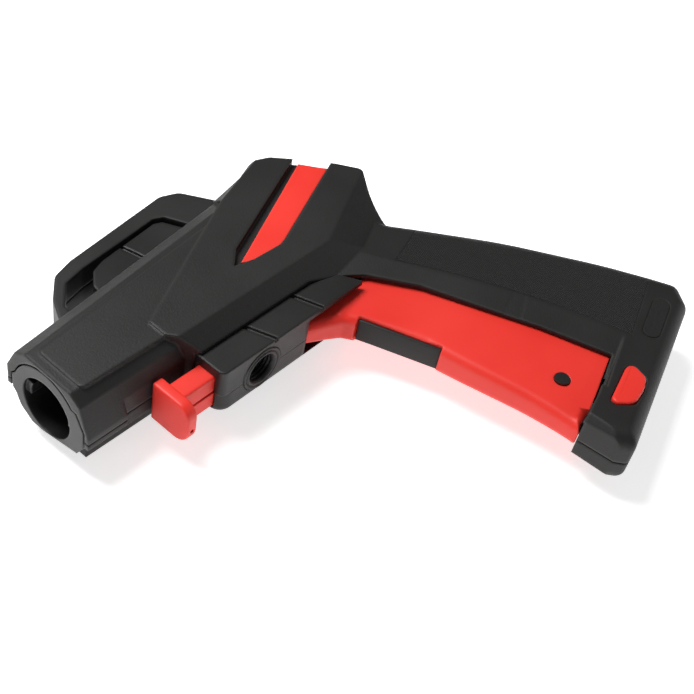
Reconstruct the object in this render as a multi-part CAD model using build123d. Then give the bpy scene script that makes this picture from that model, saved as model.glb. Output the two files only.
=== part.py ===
from build123d import *
import math
import os

# Pistol-grip hose nozzle, in millimetres.  The gun lies on its right side.
# +X runs forward along the barrel, +Y points to the gun's underside, +Z is the gun's left side.
# The origin is the centre of the outlet's front face; the two covers part on the plane Z = 0.

# ---- fits and walls ----
WALL = 2.2            # moulded cover wall
NOSE_WALL = 1.3       # cover wall round the outlet collar
SEAM = 0.15           # gap round a piece let into a cover
RUN = 0.05            # radial clearance of a running fit
MOVE = 0.35           # gap between faces that slide past each other
PARTING_W = 0.5       # width of the groove along the parting line
PARTING_D = 0.6       # depth of that groove

# ---- barrel and body levels ----
BARREL_L = 112.0      # length of the barrel behind the outlet's face
BARREL_TOP = 20.2     # half height of the barrel towards -Y at its front
BARREL_RISE = 0.125   # how much the barrel deepens towards -Y for each mm backwards
BARREL_Z = 18.2       # half thickness of the barrel on its left side
BARREL_LOW_Z = 14.8   # half thickness of the barrel on its right side
NOSE_Y = 21.5         # underside of the nose
NOSE_RELIEF_Y = 19.3  # underside behind the nose, where the knob lies
NOSE_RELIEF_X = -17.0
NOSE_FRONT_L = 3.0    # front wall of the covers
NOSE_BACK_X = -26.6   # end of the collar's chamber
PLATEAU_Z = 18.9      # half thickness over the nose panel
BODY_Z = 19.6         # half thickness of the body
BODY_EDGE_Z = 13.6    # half thickness where the body's lower bevel ends
BODY_BEVEL_Y = 16.8   # where that bevel starts
BODY_LOW_Y = 23.5     # lower edge of the body over the core housing

# ---- grip ----
GRIP_Z = 13.0         # half thickness of the grip on its left side
GRIP_LOW_Z = 11.4     # half thickness on its right side
GRIP_EDGE_Z = 11.0    # half thickness along the trigger
GRIP_ROUND = 6.0      # roundover of the grip's back and end, left side
GRIP_LOW_ROUND = 6.5  # the same, right side

# ---- core housing (the grooved boss under the barrel) ----
CORE_Z = 12.0
CORE_FRONT_X = -47.5
CORE_LOW_Y = 35.5
CORE_TOP_Y = 13.5
CORE_ROUND = 5.0      # roundover of its right lower edge
GROOVE_W = 2.0
GROOVE_D = 1.1

# ---- hook guard ----
HOOK_Z = 10.0
BLOCK_Z = 8.7

# ---- outlet ----
BORE_R = 12.0         # bayonet socket
SPIGOT_R = 9.0        # sealed bore behind the lugs
LUG_R = 9.5           # tip radius of the bayonet lugs
LUG_W = 6.0
LUG_Z = 1.5
LUG_X0 = -1.5
LUG_X1 = -6.5
COLLAR_R = 17.3
COLLAR_Y = 19.5
COLLAR_Z = 11.0
COLLAR_L = 26.0
COLLAR_SHADOW = 0.7  # shadow gap round the collar's lip
COLLAR_BACK_L = 5.0   # end wall that holds the tube
SOCKET_L = 13.0       # depth of the bayonet socket
COLLAR_GROOVE_R = 15.8
COLLAR_GROOVE_X = -14.0
COLLAR_RIB_T = 2.0
SET_BACK = 6.0        # how far the right cover stops short of the collar's face
SEAL_W = 2.6
SEAL_T = 1.6
TUBE_R = 8.0
TUBE_BORE_R = 6.0
TUBE_END_X = -134.0

# ---- trigger ----
PIVOT = (-144.0, 115.0)
PIVOT_R = 3.0
PIN_HALF = 7.6        # half length of the pivot pin
TRIGGER_DEG = 4.0     # travel of the trigger
SWING_STEPS = 8       # positions used to clear the room it swings through
TRIGGER_BACK_Z = 9.3  # half thickness at its back edge
TRIGGER_FRONT_Z = 6.0  # half thickness at its front ridge
TRIGGER_TAPER = 32.0  # distance over which it thins
TRIGGER_BEVEL = 3.0
TRIGGER_GAP = 0.6     # gap round the trigger in its opening
ARM_Z = 4.0           # half thickness of the arm that pushes the valve stem
ARM_X0 = -109.6
ARM_X1 = -103.0
ARM_Y0 = 12.0
BRACKET_Z = 3.3       # half thickness of the pivot bracket
BRACKET_R = 6.5
FOOT_R = 5.2
INSERT_Z = 5.0

# ---- valve ----
STEM_Y = 16.5
STEM_R = 2.0
STEM_TAIL_R = 1.5
STEM_TIP_X = -110.0
STEM_BACK_X = -136.0
VALVE_FRONT_X = -118.0
VALVE_BACK_X = -148.0
VALVE_WALL = 2.0
CHAMBER_R = 5.6
PASSAGE_X = -125.0
PASSAGE_R = 3.0
SEAT_X = -128.5
SEAT_T = 2.5
SEAT_BORE_R = 3.4
POPPET_T = 2.4
POPPET_R = 4.8
CAP_PLUG_L = 3.5
CAP_T = 2.0
GLAND_R = 3.6
GLAND_L = 2.2

# ---- port and selector knob ----
PORT_X = -68.0
PORT_Z = 1.0
PORT_R = 9.4
PORT_SLEEVE_R = 7.5
PORT_BORE_R = 5.7
PORT_Y0 = 23.5
PORT_PROUD = 0.4
FEED_R = 3.2
FEED_BORE_R = 2.2
KNOB_Y0 = 20.1
KNOB_Y1 = 38.4
KNOB_Z = 9.0
KNOB_FRONT_X = -28.8
KNOB_T = 4.6
KNOB_TRAVEL = 9.0
ROD_Y0 = 23.4
ROD_Y1 = 31.4
ROD_Z = 7.8
ROD_END_X = -50.5
SPOOL_R = 3.0
SPOOL_WAIST_R = 1.5
SPOOL_Y = 19.4
SPOOL_END_X = -75.0
TAIL_Z = 3.0
TAIL_T = 2.3
TAIL_Y0 = 15.9
TAIL_Y1 = 25.4

# ---- strips, pads and lock button ----
STRIP_TOP = 18.0
STRIP_T = 1.4
PAN_T = 1.7
PAD_T = 1.3
PAD_DEPTH = 1.0
BUTTON_PROUD = 0.8
BUTTON_FLANGE = 1.2
BUTTON_FLANGE_T = 1.3
BUTTON_AT = (-154.0, 136.0)
BUTTON_POST_R = 3.2
BUTTON_POST_Z = 2.5

# ---- water inlet ----
INLET_R = 9.0         # outside of the inlet fitting
INLET_BORE_R = 7.5    # threaded bore
INLET_L = 16.0
INLET_BORE_L = 10.0
GASKET_R = 7.0        # seat of the inlet gasket below the thread
GASKET_T = 2.0
INLET_RECESS = 5.0    # how deep the fitting's face lies in the butt
INLET_MOUTH_R = 8.2
INLET_FLOW_R = 2.8
CRADLE_R = 10.8
CRADLE_T = 2.0
INLET_X = -188.0
BARB_L = 12.0
HOSE_R = 5.5
HOSE_BEND_R = 30.0
HOSE_BORE_R = 4.0
HOSE_FLOW_R = 2.8
SPIGOT_X = -138.5     # where the valve's inlet spigot meets the stem's axis
SPIGOT_DIR = (-0.45, 0.893)
SPIGOT_L = 20.0

# ---- screws ----
POST_R = 2.6
HEAD_POST_R = 4.4
HEAD_R = 2.7
HEAD_HOLE_R = 2.9
HEAD_Z = -7.0         # seat of the screw heads
HEAD_T = 2.2
SHANK_R = 1.4
SHANK_HOLE_R = 1.5
SHANK_END = 8.0
SCREW_AT = [
    (-58.0, -16.0), (-100.0, -15.0), (-150.0, -1.0), (-177.0, 64.0), (-200.0, 107.0), (-139.0, 143.0),
]

os.makedirs("parts", exist_ok=True)


def save(name, shape):
    export_step(shape, f"parts/{name}.step")


def face(points, fillets=()):
    """A flat face in XY from its corners; fillets lists (corner index, radius)."""
    flat = make_face(Polyline(*[(p[0], p[1]) for p in points], close=True).edges())
    for index, radius in fillets:
        corner = Vector(points[index][0], points[index][1], 0)
        vertex = flat.vertices().sort_by_distance(corner)[0]
        flat = fillet(vertex, radius)
    return flat


def slab(flat, z0, z1):
    """A flat face carried from z0 to z1."""
    return extrude(Pos(0, 0, z0) * flat, z1 - z0)


def both(flat, half):
    """A flat face carried the same way to each side of the parting plane."""
    return slab(flat, -half, half)


def wedge_cut(start, end, z_top, z_low, run, reach):
    """Material above a plane dropping from z_top to z_low over run, left of start-end, as far as reach."""
    a = Vector(start[0], start[1], 0)
    b = Vector(end[0], end[1], 0)
    along = (b - a).normalized()
    across = Vector(-along.Y, along.X, 0)
    plane = Plane(origin=a, x_dir=across, z_dir=along)
    drop = (z_top - z_low) / run * reach
    sign = 1 if plane.y_dir.Z > 0 else -1
    corners = [(0, sign * z_top), (reach, sign * (z_top - drop)), (reach, sign * 30), (0, sign * 30)]
    return extrude(plane * make_face(Polyline(*corners, close=True).edges()), (b - a).length)


def mirrored(shape):
    """The shape together with its mirror image across the parting plane."""
    return [shape, mirror(shape, Plane.XY)]


def block(x0, x1, y0, y1, z0, z1):
    """A rectangular block between two corners."""
    return Pos((x0 + x1) / 2, (y0 + y1) / 2, (z0 + z1) / 2) * Box(x1 - x0, y1 - y0, z1 - z0)


def prism(points, x0, x1):
    """A YZ outline carried along X from x0 to x1."""
    flat = make_face(Polyline(*[(x0, y, z) for y, z in points], close=True).edges())
    return extrude(flat, x1 - x0, dir=(1, 0, 0))


def cylinder(radius, start, end):
    """A round bar between two points."""
    a = Vector(*start)
    b = Vector(*end)
    plane = Plane(origin=a, z_dir=(b - a).normalized())
    return extrude(plane * Circle(radius), (b - a).length)


def ring(outer, inner, start, end):
    return cylinder(outer, start, end) - cylinder(inner, start, end)


def coil(radius, wire_r, length, turns, start, direction):
    """A compression spring from start along direction."""
    path = Helix(pitch=(length - 2 * wire_r) / turns, height=length - 2 * wire_r, radius=radius)
    profile = Plane(origin=path @ 0, z_dir=path % 0) * Circle(wire_r)
    spring = sweep(profile, path=path, is_frenet=True)
    place = Plane(origin=Vector(*start) + Vector(*direction).normalized() * wire_r, z_dir=Vector(*direction))
    return place.location * spring


# ---- outlines in the XY plane ----
BODY_OUTLINE = [
    (-40.5, 5.5), (-40.5, 13.4), (-48.5, BODY_LOW_Y), (-104.0, BODY_LOW_Y), (-117.0, 27.0), (-125.8, 34.4),
    (-131.6, 41.5), (-156.0, 33.0), (-154.0, 18.5), (-156.5, 9.0), (-164.5, -3.6), (-158.2, -12.9),
    (-147.0, -25.0), (-139.6, -32.2), (-131.5, -35.2), (-120.7, -30.6), (-106.0, -29.8), (-106.0, -25.5),
]
PLATEAU_OUTLINE = [(-4.0, -8.6), (-4.0, 13.2), (-44.0, 13.4), (-110.0, 13.4), (-110.0, -21.0)]
GRIP_OUTLINE = [
    (-117.0, 27.0), (-125.2, 33.5), (-137.2, 51.5), (-156.0, 95.0), (-165.3, 122.2), (-144.0, 129.6),
    (-130.0, 133.2), (-131.5, 148.0), (-134.8, 152.6), (-213.5, 128.6), (-221.0, 119.5), (-216.0, 109.0),
    (-206.5, 91.0), (-184.5, 56.0), (-162.0, 27.5), (-154.6, 18.5), (-156.0, 8.0), (-138.0, 0.0),
]
TRIGGER_OUTLINE = [
    (-130.6, 132.9), (-130.2, 117.8), (-121.2, 78.2), (-120.6, 70.4), (-110.3, 46.8), (-105.6, 41.2),
    (-100.6, 38.6), (-91.3, 34.6), (-88.5, 30.5), (-120.5, 30.5), (-129.0, 34.0), (-141.0, 52.0),
    (-159.4, 95.0), (-168.2, 121.0), (-144.6, 129.0),
]
HOOK_OUTER = [
    (-22.5, -18.0), (-24.1, -22.3), (-28.5, -31.0), (-36.6, -39.8), (-46.0, -42.6), (-96.4, -49.3),
    (-104.0, -46.5), (-114.0, -31.5), (-114.0, -26.0),
]
HOOK_INNER = [
    (-29.0, -16.0), (-29.5, -25.5), (-37.4, -34.6), (-47.0, -36.9), (-85.2, -41.2), (-89.6, -39.4),
    (-94.5, -30.0), (-94.5, -20.0),
]
BLOCK_OUTLINE = [
    (-43.6, -22.0), (-45.0, -28.5), (-49.8, -34.2), (-56.0, -36.4), (-84.6, -39.9), (-88.0, -38.6),
    (-92.2, -31.0), (-92.2, -22.0),
]
CORE_OUTLINE = [
    (CORE_FRONT_X, CORE_TOP_Y), (CORE_FRONT_X, CORE_LOW_Y), (-121.3, CORE_LOW_Y), (-116.6, 27.3),
    (-104.2, 23.8), (-98.0, 23.8), (-98.0, CORE_TOP_Y),
]
NOTCH_OUTLINE = [(-106.2, 46.1), (-118.2, 77.2), (-123.4, 75.0), (-111.3, 43.9)]
INSERT_OUTLINE = [(-110.1, 44.6), (-122.1, 75.4), (-123.4, 75.0), (-111.3, 43.9)]
STRIP_OUTLINE = [(-87.6, 3.4), (-92.0, 5.6), (-105.0, 6.1), (-110.0, 4.6), (-154.6, -13.8), (-147.4, -23.2)]
STRIP_RECESS = [
    (-83.0, 4.2), (-91.5, 6.2), (-105.2, 6.7), (-110.3, 5.1), (-170.0, -19.6), (-158.0, -31.0), (-146.5, -25.6),
    (-90.5, -2.2),
]
BUTTON_OUTLINE = [
    (-143.2, 137.6), (-143.4, 134.6), (-161.8, 129.8), (-164.8, 131.4), (-162.8, 138.4), (-157.0, 140.9),
    (-148.4, 142.2),
]
PAD_LINE = ((-202.5, 121.3), (-186.4, 126.4))
PAD_R = 3.4


def barrel(inset, x_front, x_back):
    """The tapered faceted barrel, shrunk by inset."""
    sections = []
    for x in (x_front, x_back):
        top = -(BARREL_TOP - BARREL_RISE * x) + inset
        low = NOSE_Y - inset
        left = BARREL_Z - inset
        right = -(BARREL_LOW_Z - inset)
        slant = 0.4 * inset
        points = [
            (low, 2.5), (17.0 - slant, left - 3.2), (12.0, left), (top + 9.8, left), (top + 4.4, left - 3.2),
            (top, 6.0), (top, -5.0), (top + 5.0, right + 3.6), (top + 11.0, right), (9.0, right),
            (16.8 - slant, right + 4.4), (low, -2.5),
        ]
        wire = Polyline(*[(x, y, z) for y, z in points], close=True)
        sections.append(make_face(wire.edges()))
    edge_x = NOSE_RELIEF_X + inset
    relief = block(x_back - 1, min(edge_x, x_front + 1), NOSE_RELIEF_Y - inset, NOSE_Y + 5, -30, 30)
    return loft(sections, ruled=True) - relief


def body(inset):
    """The body behind the barrel, with its lower bevel and the facet down to the grip."""
    z = BODY_Z - inset
    flat = face(BODY_OUTLINE, [(9, 36.0), (8, 14.0), (14, 4.0), (13, 4.0), (12, 1.5), (11, 1.5), (10, 3.0)])
    if inset:
        flat = offset(flat, -inset, kind=Kind.INTERSECTION)
    solid = both(flat, z)
    run = BODY_LOW_Y - BODY_BEVEL_Y
    cuts = mirrored(wedge_cut((-180.0, BODY_BEVEL_Y), (-30.0, BODY_BEVEL_Y), z, BODY_EDGE_Z - inset, run, 16))
    cuts += mirrored(wedge_cut((-190.0, -15.2), (-79.9, 36.2), z, GRIP_Z - inset + 0.2, 12.0, 30))
    cuts += mirrored(wedge_cut((-80.0, -16.5), (-134.0, -34.5), z, z - 6.0, 6.0, 16))
    cuts += mirrored(wedge_cut((-30.0, 4.4), (-113.0, -34.4), z + 0.001, PLATEAU_Z - inset, 2.4, 3.2))
    for cut in cuts:
        solid -= cut
    return solid


def grip(inset):
    """The grip and butt: a rounded back and end, and a shallow bevel down to the trigger on the left."""
    flat = face(GRIP_OUTLINE, [(8, 2.5), (9, 5.0), (10, 5.0), (12, 200.0), (13, 200.0), (15, 6.0)])
    if inset > 0:
        flat = offset(flat, -inset, kind=Kind.INTERSECTION)
    if inset < 0:
        flat = offset(flat, -inset)
    left = slab(flat, 0, GRIP_Z - inset)
    right = slab(flat, -(GRIP_LOW_Z - inset), 0)
    left = fillet(back_edges(left, GRIP_Z - inset), GRIP_ROUND - inset)
    right = fillet(back_edges(right, -(GRIP_LOW_Z - inset)), GRIP_LOW_ROUND - inset)
    z = GRIP_Z - inset
    left -= wedge_cut((-176.6, 120.2), (-161.7, 77.4), z, GRIP_EDGE_Z - inset, 14.0, 30)
    left -= wedge_cut((-163.9, 82.5), (-124.0, 10.4), z, GRIP_EDGE_Z - inset, 14.0, 30)
    left -= wedge_cut((-134.0 - inset, 160.0), (-132.0 - inset, 122.0), z, z - 3.0, 3.0, 12)
    low_z = GRIP_LOW_Z - inset
    butt_bevel = wedge_cut((-136.0 - inset, 160.0), (-134.0 - inset, 122.0), low_z, low_z - 5.0, 5.0, 12)
    right -= mirror(butt_bevel, Plane.XY)
    return left + right


def back_edges(solid, z):
    """The long edges at height z along the grip's back."""
    level = [e for e in solid.edges() if e.length > 8 and abs(e.center().Z - z) < 0.02]
    return [e for e in level if is_back(e.center())]


def is_back(point):
    """Whether a point lies along the grip's back edge."""
    for start, end in zip(GRIP_OUTLINE[12:15], GRIP_OUTLINE[11:14]):
        a = Vector(*start)
        along = (Vector(*end) - a)
        reach = (Vector(point.X, point.Y) - a)
        t = reach.dot(along) / along.dot(along)
        side = abs(reach.cross(along).Z) / along.length
        if -0.1 < t < 1.1 and side < 4.0:
            return True
    return False


def hook(inset):
    """The hook guard on top of the barrel."""
    band = face(HOOK_OUTER, [(3, 6.0), (5, 6.0), (6, 5.0), (2, 6.0)]) - face(HOOK_INNER, [(2, 3.0), (5, 2.5)])
    if inset:
        band = offset(band, -inset, kind=Kind.INTERSECTION)
    return both(band, HOOK_Z)


def turned(shape, degrees):
    """The shape as the trigger carries it when squeezed by some degrees."""
    return Pos(*PIVOT, 0) * Rot(0, 0, -degrees) * Pos(-PIVOT[0], -PIVOT[1], 0) * shape


def swept(flat, half):
    """The room a flat outline needs, at a half thickness, while the trigger swings."""
    room = both(flat, half)
    for step in range(1, SWING_STEPS + 1):
        room += turned(both(flat, half), step / SWING_STEPS * TRIGGER_DEG)
    return room


def stadium(start, end, radius):
    """A flat round-ended bar between two points."""
    a = Vector(*start)
    b = Vector(*end)
    middle = (a + b) / 2
    angle = math.degrees(math.atan2(b.Y - a.Y, b.X - a.X))
    return Pos(middle.X, middle.Y) * Rot(0, 0, angle) * SlotCenterToCenter((b - a).length, 2 * radius)


# ---- the covers' outside and inside ----
body_only = both(face(PLATEAU_OUTLINE, [(0, 2.0), (1, 2.0)]), PLATEAU_Z) + barrel(0.0, 0.0, -BARREL_L)
body_only += body(0.0)
body_only += grip(0.0)
outside = body_only + hook(0.0)
core_skin = barrel(PARTING_D, -PARTING_D, -BARREL_L) + body(PARTING_D) + grip(PARTING_D) + hook(PARTING_D)
parting = (block(-260, 20, -80, 180, -PARTING_W / 2, PARTING_W / 2) & outside) - core_skin
cavity = barrel(NOSE_WALL, -NOSE_FRONT_L, NOSE_BACK_X) + barrel(WALL, NOSE_BACK_X, -BARREL_L)
cavity += body(WALL)
cavity += grip(WALL)

# ---- water inlet line ----
slope = math.atan2(GRIP_OUTLINE[8][1] - GRIP_OUTLINE[9][1], GRIP_OUTLINE[8][0] - GRIP_OUTLINE[9][0])
inlet_axis = Vector(-math.sin(slope), math.cos(slope), 0)
inlet_y = GRIP_OUTLINE[8][1] - (GRIP_OUTLINE[8][0] - INLET_X) * math.tan(slope)
inlet_face = Vector(INLET_X, inlet_y, 0)


def inlet_at(depth):
    """The point on the inlet's axis at a depth below the butt's end."""
    point = inlet_face - inlet_axis * depth
    return (point.X, point.Y, point.Z)


fitting_back = INLET_RECESS + INLET_L
spigot_dir = Vector(*SPIGOT_DIR, 0).normalized()
spigot_start = Vector(SPIGOT_X, STEM_Y, 0)
hose_points = [
    spigot_start + spigot_dir * (SPIGOT_L - 9), spigot_start + spigot_dir * (SPIGOT_L + 8),
    Vector(*inlet_at(fitting_back + BARB_L + 8)), Vector(*inlet_at(fitting_back)),
]
hose_path = FilletPolyline(*hose_points, radius=HOSE_BEND_R)
hose_plane = Plane(origin=hose_path @ 0, z_dir=hose_path % 0)
inlet_tube = sweep(hose_plane * Circle(HOSE_R), path=hose_path)
inlet_tube -= sweep(hose_plane * Circle(HOSE_BORE_R), path=hose_path)
save("inlet_tube", inlet_tube)

inlet_fitting = cylinder(INLET_R, inlet_at(INLET_RECESS), inlet_at(fitting_back))
inlet_fitting -= cylinder(INLET_BORE_R, inlet_at(INLET_RECESS), inlet_at(INLET_RECESS + INLET_BORE_L))
gasket_at = INLET_RECESS + INLET_BORE_L
inlet_fitting -= cylinder(GASKET_R, inlet_at(gasket_at), inlet_at(gasket_at + GASKET_T))
inlet_fitting += cylinder(HOSE_BORE_R, inlet_at(fitting_back), inlet_at(fitting_back + BARB_L))
inlet_fitting -= cylinder(INLET_FLOW_R, inlet_at(INLET_RECESS), inlet_at(fitting_back + BARB_L))
save("inlet_fitting", inlet_fitting)
save("inlet_gasket", ring(GASKET_R, INLET_FLOW_R + 1, inlet_at(gasket_at), inlet_at(gasket_at + GASKET_T)))

# ---- valve ----
valve_r = CHAMBER_R + VALVE_WALL
seat_back = SEAT_X - SEAT_T


def on_stem(x):
    return (x, STEM_Y, 0)


tube_bar = cylinder(TUBE_R, (-COLLAR_L + COLLAR_BACK_L, 0, 0), (TUBE_END_X, 0, 0))
valve_body = cylinder(valve_r, on_stem(VALVE_FRONT_X), on_stem(VALVE_BACK_X))
valve_body += cylinder(PASSAGE_R + VALVE_WALL - 0.5, (PASSAGE_X, STEM_Y, 0), (PASSAGE_X, 2, 0)) - tube_bar
valve_body += cylinder(HOSE_BORE_R, spigot_start, spigot_start + spigot_dir * SPIGOT_L)
valve_body -= cylinder(CHAMBER_R, on_stem(VALVE_FRONT_X - 4), on_stem(VALVE_BACK_X))
valve_body -= cylinder(PASSAGE_R, (PASSAGE_X, STEM_Y, 0), (PASSAGE_X, 0, 0))
valve_body -= cylinder(HOSE_FLOW_R, spigot_start, spigot_start + spigot_dir * SPIGOT_L)
valve_body -= cylinder(STEM_R + RUN, on_stem(VALVE_FRONT_X), on_stem(VALVE_FRONT_X - 4))
valve_body -= cylinder(GLAND_R, on_stem(VALVE_FRONT_X - 0.9), on_stem(VALVE_FRONT_X - 0.9 - GLAND_L))
save("valve_body", valve_body)
gland = (on_stem(VALVE_FRONT_X - 0.9), on_stem(VALVE_FRONT_X - 0.9 - GLAND_L))
save("stem_seal", ring(GLAND_R, STEM_R + RUN, *gland))
save("valve_seat", ring(CHAMBER_R, SEAT_BORE_R, on_stem(SEAT_X), on_stem(seat_back)))
cap_face = VALVE_BACK_X + CAP_PLUG_L
valve_cap = cylinder(CHAMBER_R, on_stem(cap_face), on_stem(VALVE_BACK_X))
valve_cap += cylinder(valve_r, on_stem(VALVE_BACK_X), on_stem(VALVE_BACK_X - CAP_T))
valve_cap -= cylinder(STEM_TAIL_R + 0.3, on_stem(cap_face), on_stem(VALVE_BACK_X))
save("valve_cap", valve_cap)
poppet_front = seat_back - 0.1
poppet_back = poppet_front - POPPET_T
valve_stem = cylinder(STEM_R, on_stem(STEM_TIP_X), on_stem(poppet_front))
valve_stem += cylinder(STEM_TAIL_R, on_stem(poppet_front), on_stem(STEM_BACK_X))
save("valve_stem", valve_stem)
save("valve_poppet", ring(POPPET_R, STEM_TAIL_R, on_stem(poppet_front), on_stem(poppet_back)))
save("valve_spring", coil(3.2, 0.4, poppet_back - cap_face, 4.5, on_stem(poppet_back), (-1, 0, 0)))

# ---- outlet tube, feed to the port ----
outlet_tube = tube_bar - cylinder(TUBE_BORE_R, (-COLLAR_L + COLLAR_BACK_L, 0, 0), (TUBE_END_X + 3, 0, 0))
outlet_tube -= cylinder(PASSAGE_R, (PASSAGE_X, 0, 0), (PASSAGE_X, TUBE_R + 2, 0))
outlet_tube -= cylinder(FEED_BORE_R, (PORT_X, 0, PORT_Z), (PORT_X, TUBE_R + 2, PORT_Z))
save("outlet_tube", outlet_tube)
feed_top = CORE_TOP_Y + 1.5
port_feed = ring(FEED_R, FEED_BORE_R, (PORT_X, TUBE_R - 4, PORT_Z), (PORT_X, feed_top, PORT_Z)) - tube_bar
save("port_feed", port_feed)

# ---- outlet collar ----
collar_flat = [
    (COLLAR_Y, 4.0), (COLLAR_Y, -4.0), (15.5, -COLLAR_Z), (0, -COLLAR_Z), (0, COLLAR_Z), (15.5, COLLAR_Z),
]
collar_top = [(0, 7.0), (0, -7.0), (-15.0, -7.0), (-18.4, -3.5), (-18.4, 3.5), (-15.0, 7.0)]
under_slant = [(-40, -13.4 - 8.8), (40, -13.4 + 8.8), (40, -40), (-40, -40)]
collar_bar = cylinder(COLLAR_R, (0, 0, 0), (-COLLAR_L, 0, 0))
collar_bar += prism(collar_flat, -COLLAR_L, 0)
collar_bar += prism(collar_top, -COLLAR_L, 0)
collar_bar -= prism(under_slant, -COLLAR_L - 1, 1)
collar_room = barrel(NOSE_WALL + SEAM, 1.0, NOSE_BACK_X)
thinner = 1 - COLLAR_SHADOW / COLLAR_R
collar_lip = scale(collar_bar, by=(1, thinner, thinner)) & block(-NOSE_FRONT_L, 1, -30, 30, -30, 30)
outlet_collar = (collar_bar & block(-COLLAR_L - 1, -NOSE_FRONT_L, -30, 30, -30, 30)) + collar_lip
outlet_collar &= collar_room
groove_x1 = COLLAR_GROOVE_X - COLLAR_RIB_T - 2 * SEAM
groove = block(groove_x1, COLLAR_GROOVE_X, -30, 30, -30, 30)
outlet_collar -= groove - cylinder(COLLAR_GROOVE_R, (COLLAR_GROOVE_X + 1, 0, 0), (groove_x1 - 1, 0, 0))
outlet_collar -= cylinder(BORE_R, (0, 0, 0), (-SOCKET_L, 0, 0))
outlet_collar -= cylinder(SPIGOT_R, (-SOCKET_L, 0, 0), (-COLLAR_L + COLLAR_BACK_L, 0, 0))
outlet_collar -= cylinder(TUBE_R, (-COLLAR_L + COLLAR_BACK_L, 0, 0), (-COLLAR_L, 0, 0))
seal_x = -SOCKET_L - 2.4
seal = ring(SPIGOT_R + SEAL_T, SPIGOT_R, (seal_x, 0, 0), (seal_x - SEAL_W, 0, 0))
outlet_collar -= seal
lug_bar = block(LUG_X1, LUG_X0, -BORE_R - 0.5, BORE_R + 0.5, LUG_Z - LUG_W / 2, LUG_Z + LUG_W / 2)
lugs = lug_bar & ring(BORE_R + 0.3, LUG_R, (LUG_X0, 0, 0), (LUG_X1, 0, 0))
outlet_collar += lugs
save("outlet_collar", outlet_collar)
save("collar_seal", seal)

# ---- trigger ----
trigger_flat = face(TRIGGER_OUTLINE, [(1, 30.0), (2, 8.0), (3, 8.0), (6, 10.0), (0, 1.5), (14, 10.0)])
taper = wedge_cut((-168.0, 121.0), (-141.0, 52.0), TRIGGER_BACK_Z, TRIGGER_FRONT_Z, TRIGGER_TAPER, 70)
trigger_lever = both(trigger_flat, TRIGGER_BACK_Z)
for cut in mirrored(taper):
    trigger_lever -= cut
for start, end in zip(TRIGGER_OUTLINE[0:3], TRIGGER_OUTLINE[1:4]):
    a = Vector(*start)
    b = Vector(*end)
    along = (b - a).normalized()
    inward = Vector(along.Y, -along.X, 0) * TRIGGER_BEVEL
    line = (a + inward - along * 3, b + inward + along * 3)
    points = [(p.X, p.Y) for p in line]
    for cut in mirrored(wedge_cut(points[0], points[1], TRIGGER_FRONT_Z, TRIGGER_FRONT_Z - 3, 4.0, 8)):
        trigger_lever -= cut
arm_flat = face([(ARM_X1, 34.0), (ARM_X1, ARM_Y0 + 2), (ARM_X1 - 2, ARM_Y0), (ARM_X0, ARM_Y0), (ARM_X0, 34.0)])
trigger_lever += both(arm_flat, ARM_Z)
trigger_lever -= both(face(NOTCH_OUTLINE), 20)
foot = SCREW_AT[5]
bracket_flat = stadium(PIVOT, foot, FOOT_R) + Pos(*PIVOT) * Circle(BRACKET_R)
bracket_room = both(offset(bracket_flat, MOVE), BRACKET_Z + MOVE)
for step in (0.5, 1.0):
    bracket_room += turned(both(offset(bracket_flat, MOVE), BRACKET_Z + MOVE), -step * TRIGGER_DEG)
trigger_lever -= bracket_room
trigger_lever -= cylinder(PIVOT_R + RUN, (*PIVOT, -20), (*PIVOT, 20))
save("trigger_lever", trigger_lever)
save("trigger_insert", both(face(INSERT_OUTLINE), INSERT_Z))
bracket = both(bracket_flat, BRACKET_Z) - cylinder(PIVOT_R, (*PIVOT, -20), (*PIVOT, 20))
bracket -= cylinder(POST_R, (*foot, -20), (*foot, 20))
save("pivot_bracket", bracket)
save("pivot_pin", cylinder(PIVOT_R, (*PIVOT, -PIN_HALF), (*PIVOT, PIN_HALF)))
trigger_room = swept(offset(trigger_flat, TRIGGER_GAP), TRIGGER_BACK_Z + MOVE)
arm_room = swept(offset(arm_flat, TRIGGER_GAP), ARM_Z + MOVE)

# ---- selector knob and spool ----
knob_face = make_face(Polyline(*[
    (KNOB_FRONT_X - KNOB_T, y, z)
    for y, z in ((KNOB_Y0, -KNOB_Z), (KNOB_Y0, KNOB_Z), (KNOB_Y1, KNOB_Z), (KNOB_Y1, -KNOB_Z))
], close=True).edges())
low_corners = knob_face.vertices().sort_by(Axis.Y)[-2:].sort_by(Axis.Z)
knob_face = fillet(low_corners[0], 7.0)
left_corner = Vector(KNOB_FRONT_X - KNOB_T, KNOB_Y1, KNOB_Z)
knob_face = fillet(knob_face.vertices().sort_by_distance(left_corner)[0], 5.0)
selector_knob = extrude(knob_face, KNOB_T, dir=(1, 0, 0))
knob_rim = selector_knob.edges().filter_by_position(Axis.X, KNOB_FRONT_X - 0.01, KNOB_FRONT_X + 0.01)
selector_knob = fillet(knob_rim, 1.0)
selector_knob += block(ROD_END_X, KNOB_FRONT_X - KNOB_T, ROD_Y0, ROD_Y1, -ROD_Z, ROD_Z)
selector_knob -= block(ROD_END_X - 1, KNOB_FRONT_X - KNOB_T, ROD_Y1 - 0.8, ROD_Y1 + 1, -0.6, 0.6)
eye_x = KNOB_FRONT_X - KNOB_T / 2
selector_knob -= cylinder(0.9, (eye_x, KNOB_Y1 + 1, -2.0), (eye_x, KNOB_Y1 - 4, -2.0))
tail = block(ROD_END_X, ROD_END_X + TAIL_T, TAIL_Y0, TAIL_Y1, -TAIL_Z, TAIL_Z)
selector_knob -= tail
save("selector_knob", selector_knob)
spool = tail + cylinder(SPOOL_R, (ROD_END_X, SPOOL_Y, 0), (SPOOL_END_X, SPOOL_Y, 0))
waist_x = PORT_X + KNOB_TRAVEL
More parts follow.
